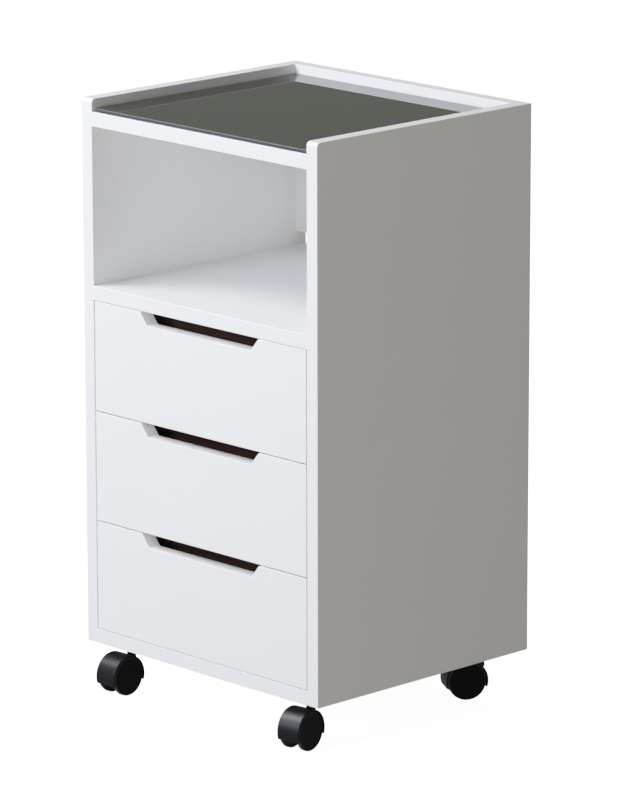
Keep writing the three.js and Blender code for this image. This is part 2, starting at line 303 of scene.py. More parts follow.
def make_box_wood(colours, grain_axis):
    """Dark open-pored wood, its grain running along one axis of the row frame."""
    brown = tuple(colours.box_wood)
    finish = Finish(f"box_wood_along_{grain_axis}", brown, 0.55, Specular_IOR_Level=0.05)
    along, across = 5, 90
    scale = tuple(along if axis == grain_axis else across for axis in "xyz")
    stretched = finish.place(scale)
    warp = finish.noise(1.0, 4.0, 0.6, stretched)
    pores = finish.noise(4.5, 3.0, 0.7, stretched)
    figure = finish.ramp(warp, 0.32, 0.68)
    tone = finish.mix(figure, shade(brown, 0.62), shade(brown, 1.35))
    pits = finish.ramp(pores, 0.36, 0.46, 1.0, 0.0)
    finish.feed("Base Color", finish.mix(0.55 * pits, tone, shade(brown, 0.3)))
    finish.feed("Roughness", 0.48 + 0.16 * figure)
    finish.bump(0.6 * figure - pits, mm(0.08), 0.6)
    return finish.material


def make_glass(colours):
    """Smoked float glass, near black in the body, with faint smears in its polish."""
    finish = Finish("smoked_glass", tuple(colours.glass), 0.02, IOR=1.52)
    smear = finish.noise(14, 4.0, 0.65, finish.place((1, 3, 1)))
    finish.feed("Roughness", finish.ramp(smear, 0.35, 0.8, 0.012, 0.05))
    return finish.material


def make_ground_glass(colours):
    """The pane's ground edge, frosted by the wheel in fine streaks."""
    grey = tuple(colours.ground_glass)
    finish = Finish("ground_glass", grey, 0.5, IOR=1.52)
    streak = finish.noise(1.0, 3.0, 0.6, finish.place((60, 60, 2400)))
    finish.feed("Base Color", finish.mix(streak, shade(grey, 0.8), shade(grey, 1.2)))
    finish.feed("Roughness", 0.38 + 0.24 * streak)
    finish.bump(streak, mm(0.02), 0.4)
    return finish.material


def make_hood_plastic(colours):
    """Injection-moulded black plastic with a fine spark-eroded grain."""
    black = tuple(colours.hood)
    finish = Finish("hood_plastic", black, 0.36, Specular_IOR_Level=0.22)
    grain = finish.noise(2600, 2.0)
    finish.feed("Roughness", 0.33 + 0.09 * finish.noise(160, 3.0))
    finish.feed("Base Color", finish.mix(finish.noise(70, 3.0), shade(black, 0.8), shade(black, 1.25)))
    finish.bump(grain, mm(0.02), 0.35)
    return finish.material


def make_wheel_plastic(name, black):
    """Satin black plastic of a wheel's faces, or for its tread a paler grey that is a painted highlight, scuffed a
    little.
    """
    finish = Finish(name, black, 0.42, Specular_IOR_Level=0.1)
    scuff = finish.ramp(finish.noise(260, 5.0, 0.7), 0.55, 0.75)
    finish.feed("Base Color", finish.mix(0.35 * scuff, black, shade(black, 2.6)))
    finish.feed("Roughness", 0.38 + 0.16 * scuff)
    finish.bump(finish.noise(2200, 2.0), mm(0.015), 0.3)
    return finish.material


def make_powder_coat(colours):
    """White powder coat on sheet steel: a fine pebbled skin."""
    white = tuple(colours.powder)
    finish = Finish("powder_coat", white, 0.42)
    pebble = finish.noise(1500, 1.0)
    finish.feed("Roughness", 0.36 + 0.12 * pebble)
    finish.feed("Base Color", finish.mix(finish.noise(25, 3.0), shade(white, 0.93), white))
    finish.bump(pebble, mm(0.03), 0.4)
    return finish.material


def make_zinc(colours):
    """Bright zinc plate with cloudy spangle and fine drawing marks."""
    zinc = tuple(colours.zinc)
    finish = Finish("zinc_plate", zinc, 0.34, Metallic=1.0)
    spangle = finish.noise(380, 3.0, 0.6)
    finish.feed("Base Color", finish.mix(spangle, shade(zinc, 0.78), shade(zinc, 1.15)))
    finish.feed("Roughness", 0.26 + 0.2 * spangle)
    finish.bump(finish.noise(30, 4.0, 0.6, finish.place((4, 60, 60))), mm(0.02), 0.3)
    return finish.material


def make_nylon(colours):
    """Natural white nylon, slightly waxy."""
    white = tuple(colours.nylon)
    finish = Finish("nylon", white, 0.4)
    haze = finish.noise(300, 3.0)
    finish.feed("Base Color", finish.mix(haze, shade(white, 0.92), white))
    finish.feed("Roughness", 0.34 + 0.12 * haze)
    return finish.material


MAKERS = {
    "lacquer": make_lacquer,
    "raw_board": make_raw_board,
    "wood_x": lambda colours: make_box_wood(colours, "x"),
    "wood_y": lambda colours: make_box_wood(colours, "y"),
    "glass": make_glass,
    "ground_glass": make_ground_glass,
    "hood": make_hood_plastic,
    "wheel": lambda colours: make_wheel_plastic("wheel_plastic", tuple(colours.wheel)),
    # the tread's pale grey is a painted highlight on the treads
    "tread": lambda colours: make_wheel_plastic("wheel_tread", tuple(colours.tread)),
    "powder": make_powder_coat,
    "zinc": make_zinc,
    "nylon": make_nylon,
}
FINISHES = {}


def finish_for(name):
    """The named material, made once."""
    if name not in FINISHES:
        FINISHES[name] = MAKERS[name](bpy.context.scene.cabinet_colours)
    return FINISHES[name]


# ---------- modelling helpers
def select_only(*pieces):
    """Leaves edit mode and selects just these pieces, the first one active."""
    if bpy.context.mode != "OBJECT":
        bpy.ops.object.mode_set(mode="OBJECT")
    bpy.ops.object.select_all(action="DESELECT")
    for piece in pieces:
        piece.select_set(True)
    if pieces:
        bpy.context.view_layer.objects.active = pieces[0]


def adopt(name):
    """Names the primitive just added and moves its place and size into its mesh."""
    piece = bpy.context.object
    piece.name = name
    piece.data.name = name
    bpy.ops.object.transform_apply(location=True, rotation=True, scale=True)
    return piece


def add_block(name, low, high):
    """A cube primitive that fills low to high."""
    select_only()
    low, high = Vector(low), Vector(high)
    bpy.ops.mesh.primitive_cube_add(size=1, location=(low + high) / 2, scale=high - low)
    return adopt(name)


def add_rod(name, start, end, radius, sides=48):
    """A cylinder primitive from start to end."""
    select_only()
    start, end = Vector(start), Vector(end)
    turn = (end - start).to_track_quat("Z", "Y").to_euler()
    bpy.ops.mesh.primitive_cylinder_add(
        vertices=sides, radius=radius, depth=(end - start).length,
        location=(start + end) / 2, rotation=turn)
    return adopt(name)


class Editing:
    """Opens a piece in edit mode with nothing selected and closes it again."""

    def __init__(self, piece, mode="EDGE"):
        self.piece = piece
        self.mode = mode

    def __enter__(self):
        select_only(self.piece)
        bpy.ops.object.mode_set(mode="EDIT")
        bpy.ops.mesh.select_mode(type=self.mode)
        bpy.ops.mesh.select_all(action="DESELECT")
        return self

    def __exit__(self, *error):
        bpy.ops.object.mode_set(mode="OBJECT")

    def _choose(self, kind, wanted):
        bpy.ops.mesh.select_mode(type=kind)
        bpy.ops.mesh.select_all(action="DESELECT")
        shape = bmesh.from_edit_mesh(self.piece.data)
        parts = {"VERT": shape.verts, "EDGE": shape.edges, "FACE": shape.faces}[kind]
        chosen = [part for part in parts if wanted(part)]
        if not chosen:
            raise RuntimeError(f"nothing to shape on {self.piece.name}")
        for part in chosen:
            part.select_set(True)
        shape.select_flush_mode()
        bmesh.update_edit_mesh(self.piece.data)

    def everything(self):
        """Selects the whole piece."""
        bpy.ops.mesh.select_all(action="SELECT")

    def corners(self, wanted):
        """Selects vertices that wanted accepts."""
        self._choose("VERT", wanted)

    def edges(self, wanted):
        """Selects edges that wanted accepts."""
        self._choose("EDGE", wanted)

    def faces(self, wanted):
        """Selects faces that wanted accepts."""
        self._choose("FACE", wanted)


def middle(edge):
    """Middle point of an edge."""
    return (edge.verts[0].co + edge.verts[1].co) / 2


def runs_along(edge, axis):
    """Whether an edge lies along an axis, 0 to 2."""
    way = (edge.verts[1].co - edge.verts[0].co).normalized()
    return abs(way[axis]) > 0.999


def is_corner(edge, degrees=40):
    """Whether two faces meet at this edge at a real angle."""
    return len(edge.link_faces) == 2 and edge.calc_face_angle(0) > math.radians(degrees)


def is_arris(edge):
    """Whether this edge is a corner that points outwards."""
    return is_corner(edge) and edge.is_convex


def round_over(radius, segments=3, affect="EDGES"):
    """Rounds what is selected in edit mode."""
    bpy.ops.mesh.bevel(offset=radius, segments=segments, profile=0.5, affect=affect, clamp_overlap=True)


def soften(piece, radius, segments=3, wanted=is_corner):
    """Rounds the corners of a piece that wanted accepts."""
    with Editing(piece) as edit:
        edit.edges(wanted)
        round_over(radius, segments)


def apply_modifier(piece, kind, **settings):
    """Adds a modifier to a piece and applies it."""
    select_only(piece)
    modifier = piece.modifiers.new(kind.title(), kind)
    for name, value in settings.items():
        setattr(modifier, name, value)
    bpy.ops.object.modifier_apply(modifier=modifier.name)


def discard(*pieces):
    """Removes helper pieces."""
    for piece in pieces:
        bpy.data.objects.remove(piece, do_unlink=True)


def combine(piece, other, operation):
    """Joins other to a piece, or cuts it away, and removes it."""
    apply_modifier(piece, "BOOLEAN", operation=operation, object=other, solver="EXACT")
    discard(other)


def smooth(piece, degrees=35):
    """Shades gentle turns smooth and keeps flat faces flat."""
    select_only(piece)
    bpy.ops.object.shade_smooth_by_angle(angle=math.radians(degrees))
    apply_modifier(piece, "WEIGHTED_NORMAL", keep_sharp=True)


def copy_of(piece, name, placed=Matrix.Identity(4)):
    """A copy with its own mesh, moved there within its mesh, turned outwards if mirrored."""
    made = piece.copy()
    made.data = piece.data.copy()
    made.name = name
    made.data.name = name
    bpy.context.scene.collection.objects.link(made)
    made.data.transform(placed)
    if placed.determinant() < 0:
        made.data.flip_normals()
    return made


def dress(piece, finish, body):
    """Gives a piece its finish and material slot, and lets it ride on its body."""
    if not piece.data.materials:
        piece.data.materials.append(finish_for(finish))
    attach(piece, body)
    return piece


def paint(piece, finish, wanted):
    """Gives the faces that wanted accepts a second finish."""
    piece.data.materials.append(finish_for(finish))
    with Editing(piece, "FACE") as edit:
        edit.faces(wanted)
        piece.active_material_index = 1
        bpy.ops.object.material_slot_assign()


def stand_for(piece, node, finish):
    """Dresses a piece and shows it in place of a CAD node."""
    dress(piece, finish, BODY_OF_NODE[node])
    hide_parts(node)


class Step:
    """What every building step shares."""

    bl_options = {"REGISTER", "UNDO"}


# ---------- carcase
BOARDS = ("side_left", "side_right", "top_board", "shelf_board", "base_board", "back_board")


def carcase_bays():
    """Low and high corners of the carcase and of its tray, compartment and drawer bay."""
    boxes = {name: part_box(name) for name in BOARDS}
    left, right = boxes["side_left"], boxes["side_right"]
    rear = boxes["back_board"][0].y
    whole = (left[0], Vector((right[1].x, boxes["back_board"][1].y, right[1].z)))
    heights = {
        "tray": (boxes["top_board"][1].z, whole[1].z + OVERRUN),
        "compartment": (boxes["shelf_board"][1].z, boxes["top_board"][0].z),
        "drawers": (boxes["base_board"][1].z, boxes["shelf_board"][0].z),
    }
    front = whole[0].y - OVERRUN
    bays = {
        name: (Vector((left[1].x, front, floor)), Vector((right[0].x, rear, ceiling)))
        for name, (floor, ceiling) in heights.items()
    }
    return whole, bays


def cord_slot_cutter(low, high, sizes):
    """The cord slot's shape, round at one end, from the compartment's lower left corner to the rear."""
    radius = sizes.slot_height / 2
    end = Vector((low.x + sizes.slot_width - radius, low.y, low.z + radius))
    cutter = add_rod("cord_slot_cutter", end, Vector((end.x, high.y, end.z)), radius, 40)
    block = add_block("cord_slot_block", low, (end.x, high.y, low.z + sizes.slot_height))
    combine(cutter, block, "UNION")
    return cutter


def carcase(sizes):
    """One block with a round front corner, its bays and cord slot cut out and its arrises softened."""
    whole, bays = carcase_bays()
    body = add_block("lacquered_carcase", *whole)
    front, top = whole[0].y, whole[1].z
    with Editing(body) as edit:
        edit.edges(lambda e: runs_along(e, 0) and middle(e).y < front + TOUCH and middle(e).z > top - TOUCH)
        round_over(sizes.side_corner, 8)
    for name, (low, high) in bays.items():
        combine(body, add_block(f"{name}_cutter", low, high), "DIFFERENCE")
    low, high = bays["compartment"]
    slot = cord_slot_cutter(
        Vector((low.x, high.y - OVERRUN, low.z)), Vector((high.x, whole[1].y + OVERRUN, high.z)), sizes)
    combine(body, slot, "DIFFERENCE")
    apply_modifier(body, "WELD", merge_threshold=1e-6)

    def in_slot(edge):
        point = middle(edge)
        return high.y - TOUCH < point.y and low.z - TOUCH < point.z < low.z + sizes.slot_height + TOUCH \
            and low.x - TOUCH < point.x < low.x + sizes.slot_width + TOUCH

    soften(body, sizes.slot_arris, 2, lambda e: in_slot(e) and is_arris(e) and not runs_along(e, 1))
    soften(body, sizes.arris, 3, lambda e: not in_slot(e) and is_arris(e))
    smooth(body)
    return body


class CABINET_OT_carcase(Step, Operator):
    """Model the lacquered carcase, seamless like its sprayed original, with a raw underside"""

    bl_idname = "cabinet.carcase"
    bl_label = "Carcase"

    def execute(self, context):
        body = carcase(context.scene.cabinet_sizes)
        dress(body, "lacquer", "carcase")
        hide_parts(*BOARDS)
        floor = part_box("base_board")[0].z
        paint(body, "raw_board", lambda f: f.normal.z < -0.99 and f.calc_center_median().z < floor + TOUCH)
        return {"FINISHED"}


class CABINET_OT_glass_pane(Step, Operator):
    """Model the smoked pane, its edges ground and chamfered, and the bumpers it lies on"""

    bl_idname = "cabinet.glass_pane"
    bl_label = "Glass Pane"

    def execute(self, context):
        sizes = context.scene.cabinet_sizes
        low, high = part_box("glass_top")
        pane = add_block("smoked_pane", low, high)
        soften(pane, sizes.glass_corner, 4, lambda e: is_corner(e) and runs_along(e, 2))
        soften(pane, sizes.glass_chamfer, 1)
        smooth(pane, 25)
        stand_for(pane, "glass_top", "glass")
        paint(pane, "ground_glass", lambda face: abs(face.normal.z) < 0.9)
        board_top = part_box("top_board")[1].z
        inset, radius = sizes.bumper_inset, sizes.bumper_radius
        for x, word in ((low.x + inset, "left"), (high.x - inset, "right")):
            for y, end in ((low.y + inset, "front"), (high.y - inset, "rear")):
                bumper = add_rod(f"glass_bumper_{end}_{word}", (x, y, board_top), (x, y, low.z), radius, 24)
                soften(bumper, sizes.bumper_arris, 1)
                smooth(bumper)
                dress(bumper, "nylon", "carcase")
        return {"FINISHED"}


# ---------- drawers
def notch_cutter(low, high, sizes):
    """A block whose foot is narrower than its top, rounded along the two foot edges."""
    floor = high.z - sizes.notch_depth
    lean = (sizes.notch_top - sizes.notch_floor) / 2 / sizes.notch_depth
    half_top = sizes.notch_top / 2 + OVERRUN * lean
    cutter = add_block(
        "notch_cutter", (-half_top, low.y - OVERRUN, floor), (half_top, high.y + OVERRUN, high.z + OVERRUN))
    with Editing(cutter, "FACE") as edit:
        edit.faces(lambda face: face.normal.z < -0.9)
        narrower = sizes.notch_floor / 2 / half_top
        bpy.ops.transform.resize(
            value=(narrower, 1, 1), center_override=(0, 0, floor), orient_type="GLOBAL")
    soften(cutter, sizes.notch_corner, 5, lambda e: runs_along(e, 1) and middle(e).z < floor + TOUCH)
    return cutter


def drawer_front(level, sizes):
    """A lacquered front with its finger notch, softened round both faces."""
    low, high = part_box(f"drawer_{level}_front")
    front = add_block(f"drawer_{level}_lacquered_front", low, high)
    combine(front, notch_cutter(low, high, sizes), "DIFFERENCE")
    lip = sizes.notch_top / 2

    def at_lip(edge):
        point = middle(edge)
        return runs_along(edge, 1) and abs(abs(point.x) - lip) < mm(1) and point.z > high.z - TOUCH

    soften(front, sizes.notch_lip, 4, at_lip)

    def on_a_face(edge):
        point = middle(edge)
        return is_corner(edge) and min(abs(point.y - low.y), abs(point.y - high.y)) < TOUCH

    soften(front, sizes.front_arris, 3, on_a_face)
    smooth(front)
    return front


class CABINET_OT_drawer_fronts(Step, Operator):
    """Model the three notched drawer fronts"""

    bl_idname = "cabinet.drawer_fronts"
    bl_label = "Drawer Fronts"

    def execute(self, context):
        sizes = context.scene.cabinet_sizes
        for level in LEVELS:
            stand_for(drawer_front(level, sizes), f"drawer_{level}_front", "lacquer")
        return {"FINISHED"}


class CABINET_OT_drawer_boxes(Step, Operator):
    """Model the dark wooden boxes behind the drawer fronts"""

    bl_idname = "cabinet.drawer_boxes"
    bl_label = "Drawer Boxes"

    grains = {"box_front": "wood_x", "box_back": "wood_x", "bottom": "wood_x",
              "side_left": "wood_y", "side_right": "wood_y"}

    def execute(self, context):
        radius = context.scene.cabinet_sizes.box_arris
        for level in LEVELS:
            inner = (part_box(f"drawer_{level}_side_left")[1].x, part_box(f"drawer_{level}_side_right")[0].x)
            for part, grain in self.grains.items():
                node = f"drawer_{level}_{part}"
                low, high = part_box(node)
                if not part.startswith("side"):
                    low.x, high.x = inner
                board = add_block(f"{node}_board", low, high)
                soften(board, radius, 2)
                smooth(board)
                stand_for(board, node, grain)
        return {"FINISHED"}


# ---------- runners
UNDER_SLIDE_AIR = mm(0.2)  # between the fixed roller and the slide above it
ON_TRACK_AIR = mm(0.1)  # between the moving roller and the track below it


def bent_strip(name, path, y0, y1, sheet):
    """A strip of sheet steel bent along an (x, z) path, its bends rounded.

    The path is the side of the sheet that faces the cabinet's right.
    """
    select_only()
    (x0, z0), (x1, z1) = path[:2]
    bpy.ops.mesh.primitive_plane_add(size=1, location=((x0 + x1) / 2, (y0 + y1) / 2, (z0 + z1) / 2))
    strip = adopt(name)
    corners = [(x0, y0, z0), (x1, y0, z1), (x0, y1, z0), (x1, y1, z1)]
    for vertex, place in zip(strip.data.vertices, corners):
        vertex.co = place
    for (xa, za), (xb, zb) in zip(path[1:], path[2:]):
        end = Vector((xa, (y0 + y1) / 2, za))
        with Editing(strip) as edit:
            edit.edges(lambda e: runs_along(e, 1) and (middle(e) - end).length < TOUCH)
            bpy.ops.mesh.extrude_region_move(TRANSFORM_OT_translate={"value": (xb - xa, 0, zb - za)})
    with Editing(strip) as edit:
        edit.edges(lambda e: runs_along(e, 1) and len(e.link_faces) == 2)
        round_over(1.6 * sheet, 4)
    apply_modifier(strip, "SOLIDIFY", thickness=sheet, offset=0, use_even_offset=True)
    with Editing(strip) as edit:
        edit.everything()
        bpy.ops.mesh.normals_make_consistent(inside=False)
    soften(strip, sheet / 6, 1, lambda e: is_corner(e, 60))
    smooth(strip, 50)
    return strip


class CABINET_OT_runners(Step, Operator):
    """Model the bent steel runners and their rollers"""

    bl_idname = "cabinet.runners"
    bl_label = "Drawer Runners"

    def execute(self, context):
        sizes = context.scene.cabinet_sizes
        sheet, half = sizes.sheet, sizes.sheet / 2
        first = "bottom"
        low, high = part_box(f"cabinet_runner_{first}_right")
        lip = low.z + sizes.track_lip
        track = bent_strip("cabinet_track", [
            (high.x - half, high.z), (high.x - half, low.z + half), (low.x + half, low.z + half),
            (low.x + half, lip)], low.y, high.y, sheet)
        low2, high2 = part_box(f"drawer_{first}_runner_right")
        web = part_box(f"drawer_{first}_side_right")[1].x + TOUCH + half
        slide = bent_strip("drawer_slide", [
            (low2.x, low2.z + half), (web, low2.z + half), (web, high2.z - half),
            (high2.x, high2.z - half)], low2.y, high2.y, sheet)
        roller_start = low.x + sheet + sizes.roller_gap
        reach = (roller_start, roller_start + sizes.roller_width)
        under_slide = high2.z - sheet - sizes.roller_radius - UNDER_SLIDE_AIR
        on_track = low.z + sheet + sizes.roller_radius + ON_TRACK_AIR
        inset = sizes.roller_inset
        front_roller = self.roller("front_roller", reach, low.y + inset, under_slide, high.x - sheet, sizes)
        rear_roller = self.roller("rear_roller", reach, high2.y - inset, on_track, web, sizes)
        base_z = low.z
        for level in LEVELS:
            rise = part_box(f"cabinet_runner_{level}_right")[0].z - base_z
            for word, side in SIDES.items():
                placed = Matrix.Translation((0, 0, rise)) @ Matrix.Diagonal((side, 1, 1, 1))
                node = f"cabinet_runner_{level}_{word}"
                stand_for(copy_of(track, f"{node}_track", placed), node, "powder")
                node = f"drawer_{level}_runner_{word}"
                stand_for(copy_of(slide, f"{node}_slide", placed), node, "powder")
                fixed = copy_of(front_roller, f"cabinet_roller_{level}_{word}", placed)
                dress(fixed, "nylon", "carcase")
                moving = copy_of(rear_roller, f"drawer_roller_{level}_{word}", placed)
                dress(moving, "nylon", f"drawer_{level}")
        discard(track, slide, front_roller, rear_roller)
        return {"FINISHED"}

    @staticmethod
    def roller(name, reach, y, z, web_x, sizes):
        """A nylon roller with a softened tread, on a short rivet that reaches its web."""
        tread = add_rod(name, (reach[0], y, z), (reach[1], y, z), sizes.roller_radius, 32)
        soften(tread, sizes.roller_round, 2)
        head = sizes.rivet_head
        ends = (reach[0] - head, web_x) if web_x > reach[0] else (web_x, reach[1] + head)
        rivet = add_rod(f"{name}_rivet", (ends[0], y, z), (ends[1], y, z), sizes.rivet_radius, 20)
        soften(rivet, sizes.rivet_round, 1)
        combine(tread, rivet, "UNION")
        smooth(tread)
        return tread


# ---------- castors
def castor_frames():
    """Each castor's swivel pin and the turn of its axle, read from its joints."""
    found = {}
    for place in PLACES:
        pin = Vector(JOINTS[f"castor_{place}_swivel"]["pos_m"])
        spin = JOINTS[f"wheel_{place}_left_spin"]
        turn = math.atan2(spin["axis"][1], spin["axis"][0])
        axle = Vector(spin["pos_m"])
        trail = (axle - pin).xy.length
        where = Matrix.Translation((pin.x, pin.y, 0)) @ Matrix.Rotation(turn, 4, "Z")
        found[place] = (where @ Matrix.Translation((0, -trail, axle.z)), trail, axle.z)
    return found


def hood_shell(sizes):
    """The hood's barrel: its rounded section spun round the axle from the front lip over to the rear lip."""
    outer, wall = sizes.hood_radius, sizes.hood_wall
    middle_y = wall / 2 - outer
    select_only()
    bpy.ops.mesh.primitive_plane_add(size=1, location=(0, middle_y, 0))
    shell = adopt("hood_barrel")
    dip = math.asin(sizes.hood_lip / outer)
    with Editing(shell) as edit:
        edit.everything()
        bpy.ops.transform.resize(value=(sizes.hood_width, wall, 1), center_override=(0, middle_y, 0))
        edit.corners(lambda v: v.co.y < middle_y)
        round_over(sizes.hood_round, 5, "VERTICES")
        edit.everything()
        bpy.ops.transform.rotate(
            value=-dip, orient_axis="X", orient_type="GLOBAL", center_override=(0, 0, 0))
        bpy.ops.mesh.spin(steps=56, angle=math.pi + 2 * dip, center=(0, 0, 0), axis=(1, 0, 0))
    close_up(shell)
    return shell


def close_up(piece):
    """Merges doubles, fills any open end and turns the faces outwards."""
    with Editing(piece) as edit:
        edit.everything()
        bpy.ops.mesh.remove_doubles(threshold=1e-6)
        edit.everything()
        bpy.ops.mesh.fill_holes(sides=0)
        edit.everything()
        bpy.ops.mesh.normals_make_consistent(inside=False)


def castor_hood(sizes, trail):
    """Barrel, middle wall and neck in one moulding, drawn round the axle."""
    hood = hood_shell(sizes)
    reach = sizes.hood_radius - sizes.hood_wall / 2
    half_web = sizes.web / 2
    web = add_rod("hood_web", (-half_web, 0, 0), (half_web, 0, 0), reach, 72)
    with Editing(web) as edit:
        edit.everything()
        bpy.ops.mesh.bisect(
            plane_co=(0, 0, -sizes.hood_lip), plane_no=(0, 0, 1), clear_inner=True, use_fill=True)
    combine(hood, web, "UNION")
    neck_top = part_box("castor_hood_front_left")[1].z - JOINTS["wheel_front_left_left_spin"]["pos_m"][2]
    neck = add_rod("hood_neck", (0, trail, sizes.neck_foot), (0, trail, neck_top), sizes.neck_radius, 40)
    soften(neck, sizes.neck_round, 3, lambda e: is_corner(e) and middle(e).z > neck_top - TOUCH)
    combine(hood, neck, "UNION")
    smooth(hood, 30)
    return hood


def castor_wheel(sizes, radius):
    """One wheel on +X: a thin rounded tread, a shallow dish in its outer face and a hub towards the hood."""
    inner, outer = sizes.wheel_inner, sizes.wheel_outer
    wheel = add_rod("castor_wheel", (inner, 0, 0), (outer, 0, 0), radius, 96)
    with Editing(wheel, "FACE") as edit:
        edit.faces(lambda face: face.normal.x > 0.99)
        bpy.ops.mesh.inset(thickness=sizes.wheel_border, depth=0)
        bpy.ops.mesh.inset(thickness=sizes.dish_slope, depth=-sizes.wheel_dish)
        edit.faces(lambda face: face.normal.x < -0.99)
        bpy.ops.mesh.inset(thickness=sizes.back_border, depth=0)
        bpy.ops.mesh.inset(thickness=sizes.dish_slope, depth=-sizes.back_recess)
        ring = radius - sizes.back_border - sizes.dish_slope - sizes.hub_radius
        bpy.ops.mesh.inset(thickness=ring, depth=0)
        bpy.ops.mesh.extrude_region_move(
            TRANSFORM_OT_translate={"value": (sizes.hub_inner - inner - sizes.back_recess, 0, 0)})

    def at_rim(edge):
        return is_corner(edge) and middle(edge).yz.length > radius - TOUCH

    soften(wheel, sizes.wheel_round, 5, lambda e: at_rim(e) and middle(e).x > outer - TOUCH)
    soften(wheel, sizes.wheel_back_round, 3, at_rim)
    face_edge = radius - min(sizes.wheel_border, sizes.back_border) + TOUCH
    soften(wheel, sizes.hub_arris, 2, lambda e: is_corner(e, 25) and middle(e).yz.length < face_edge)
    smooth(wheel, 30)
    wheel.data.materials.append(finish_for("wheel"))
    # tread faces take the paler tread colour, a painted highlight
    paint(wheel, "tread", lambda face: face.calc_center_median().yz.length > radius - 2 * TOUCH)
    return wheel


class CABINET_OT_castor_hoods(Step, Operator):
    """Model the castor hoods with their necks"""

    bl_idname = "cabinet.castor_hoods"
    bl_label = "Castor Hoods"

    def execute(self, context):
        frames = castor_frames()
        master = castor_hood(context.scene.cabinet_sizes, frames[PLACES[0]][1])
        for place, (placed, _, _) in frames.items():
            node = f"castor_hood_{place}"
            stand_for(copy_of(master, f"{node}_shell", placed), node, "hood")
        discard(master)
        return {"FINISHED"}


class CABINET_OT_castor_wheels(Step, Operator):
    """Model the eight castor wheels"""

    bl_idname = "cabinet.castor_wheels"
    bl_label = "Castor Wheels"

    def execute(self, context):
        frames = castor_frames()
        master = castor_wheel(context.scene.cabinet_sizes, frames[PLACES[0]][2])
        for place, (placed, _, _) in frames.items():
            for word, side in SIDES.items():
                node = f"wheel_{place}_{word}"
                turned = placed @ Matrix.Diagonal((side, 1, 1, 1))
                stand_for(copy_of(master, f"castor_{node}", turned), node, "wheel")
        discard(master)
        return {"FINISHED"}


# ---------- screws and steel
def screw_head(radius):
    """A low pan head with a cross recess, standing on z = 0."""
    height = 0.55 * radius
    head = add_rod("screw_head", (0, 0, 0), (0, 0, height), radius, 20)
    soften(head, 0.45 * height, 3, lambda e: is_corner(e) and middle(e).z > height - TOUCH / 10)
    reach, width = 0.55 * radius, 0.11 * radius
    for x, y in ((width, reach), (reach, width)):
        cross = add_block("recess", (-x, -y, 0.35 * height), (x, y, 2 * height))
        combine(head, cross, "DIFFERENCE")
    smooth(head)
    return head


RUNNER_SCREWS = (mm(40), mm(200))  # from the runner's front end
RUNNER_MIDDLE = mm(17.5)  # height of its screws above its lower edge
BOX_SCREWS = (0.45, 0.8)  # shares of the box's height


def screw_places(sizes):
    """Where every screw that can be seen goes: name, point, outward direction and body."""
    for place in PLACES:
        low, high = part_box(f"castor_plate_{place}")
        top = high.z - sizes.plate
        inset = sizes.screw_inset
        for i, x in enumerate((low.x + inset, high.x - inset)):
            for j, y in enumerate((low.y + inset, high.y - inset)):
                yield f"castor_screw_{place}_{i}{j}", Vector((x, y, top)), Vector((0, 0, -1)), "carcase"
    for level in LEVELS:
        for word, side in SIDES.items():
            low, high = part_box(f"cabinet_runner_{level}_{word}")
            x = (high.x if side > 0 else low.x) - side * sizes.sheet
            for i, along in enumerate(RUNNER_SCREWS):
                point = Vector((x, low.y + along, low.z + RUNNER_MIDDLE))
                yield f"runner_screw_{level}_{word}_{i}", point, Vector((-side, 0, 0)), "carcase"
            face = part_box(f"drawer_{level}_side_{word}")[max(side, 0)].x
            for end in ("front", "back"):
                low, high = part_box(f"drawer_{level}_box_{end}")
                for i, share in enumerate(BOX_SCREWS):
                    name = f"box_screw_{level}_{word}_{end}_{i}"
                    point = Vector((face, (low.y + high.y) / 2, low.z + share * (high.z - low.z)))
                    yield name, point, Vector((side, 0, 0)), f"drawer_{level}"


class CABINET_OT_screws(Step, Operator):
    """Model one pan-head screw and put a copy wherever one is driven"""

    bl_idname = "cabinet.screws"
    bl_label = "Screws"

    def execute(self, context):
        sizes = context.scene.cabinet_sizes
        master = screw_head(sizes.screw_radius)
        for name, point, outwards, body in screw_places(sizes):
            placed = Matrix.Translation(point) @ outwards.to_track_quat("Z", "Y").to_matrix().to_4x4()
            dress(copy_of(master, name, placed), "zinc", body)
        discard(master)
        return {"FINISHED"}


class CABINET_OT_castor_steel(Step, Operator):
    """Plate the castor plates and axles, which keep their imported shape"""

    bl_idname = "cabinet.castor_steel"
    bl_label = "Castor Steel"

    def execute(self, context):
        for place in PLACES:
            for part in ("plate", "axle"):
                node = frame["nodes"][f"castor_{part}_{place}"]
                node.data.materials.clear()
                node.data.materials.append(finish_for("zinc"))
        return {"FINISHED"}


# ---------- stage
def direction(azimuth, elevation):
    """Unit vector towards a place, its azimuth counted from straight in front to the right."""
    flat = math.cos(elevation)
    return Vector((math.sin(azimuth) * flat, -math.cos(azimuth) * flat, math.sin(elevation)))


# Each light's azimuth and elevation in degrees, its distance and size in metres,
# its tint, and whether polished faces mirror it.
LIGHTS = {
    "key": (-49, 46, 2.5, 1.05, (0.94, 0.925, 1.0), True),
    "front": (-12, 25, 2.8, 1.18, (0.80, 0.89, 1.0), True),
    "fill": (40, 8, 3.8, 1.6, (1.0, 0.985, 0.87), False),
    "back": (180, 50, 3.8, 1.6, (1.0, 0.99, 0.97), False),
}
LIGHT_AIM = Vector((0, 0, 0.35))
FLOOR_SIZE = 60


def soft_light(name, power, azimuth, elevation, distance, size, tint, mirrored):
    """A large square area light that faces the cabinet."""
    towards = direction(math.radians(azimuth), math.radians(elevation))
    bpy.ops.object.light_add(type="AREA", location=LIGHT_AIM + towards * distance)
    light = bpy.context.object
    light.name = f"{name}_light"
    light.rotation_euler = towards.to_track_quat("Z", "Y").to_euler()
    light.visible_glossy = mirrored
    light.data.shape = "SQUARE"
    light.data.size = size
    light.data.energy = power
    light.data.color = tint


